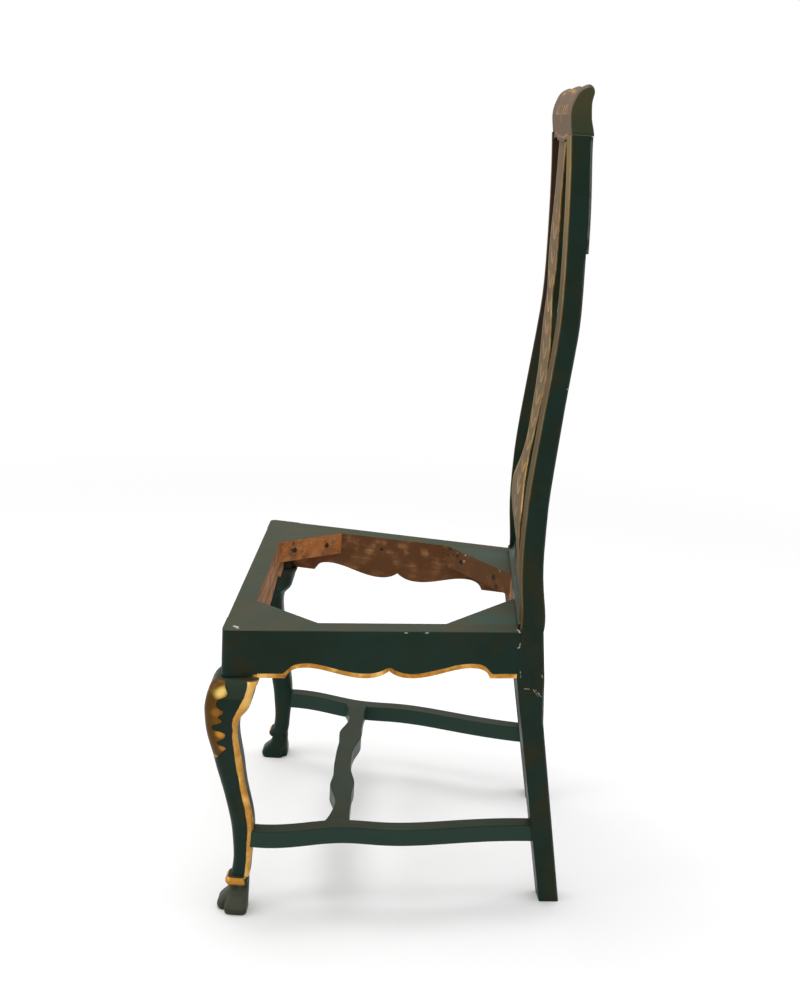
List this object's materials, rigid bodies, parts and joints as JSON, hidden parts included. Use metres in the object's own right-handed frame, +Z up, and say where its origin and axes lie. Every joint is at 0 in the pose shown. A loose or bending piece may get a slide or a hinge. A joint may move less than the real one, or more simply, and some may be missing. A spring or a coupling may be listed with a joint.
{
  "type": "painted side chair",
  "caption": "Tall-backed painted side chair frame with cabriole front legs, cloven feet, vase splat, scalloped seat rails and low stretchers, without its loose seat.",
  "frame": {"origin": "on the floor, under the middle of the chair's bounding box", "axes": "+Z up, +Y towards the back of the chair, +X to the right as seen from the front"},
  "size_m": [0.551, 0.5175, 1.1582],
  "materials": {
    "painted_frame": "aged green-black paint with gilt lines, satin",
    "painted_back": "faded paint with gilt, satin",
    "raw_wood": "raw, matt",
    "screw_iron": "dull"
  },
  "bodies": {
    "root": {"front_leg_right": "painted_frame", "front_leg_left": "painted_frame", "rear_post_right": "painted_frame", "rear_post_left": "painted_frame", "front_seat_rail": "painted_frame", "side_seat_rail_right": "painted_frame", "side_seat_rail_left": "painted_frame", "rear_seat_rail": "painted_frame", "side_stretcher_right": "painted_frame", "side_stretcher_left": "painted_frame", "cross_stretcher": "painted_frame", "splat_shoe": "painted_frame", "crest_rail": "painted_back", "back_splat": "painted_back", "front_corner_block_right": "raw_wood", "front_corner_block_left": "raw_wood", "rear_corner_block_right": "raw_wood", "rear_corner_block_left": "raw_wood", "corner_block_screws": "screw_iron"}
  },
  "joints": []
}
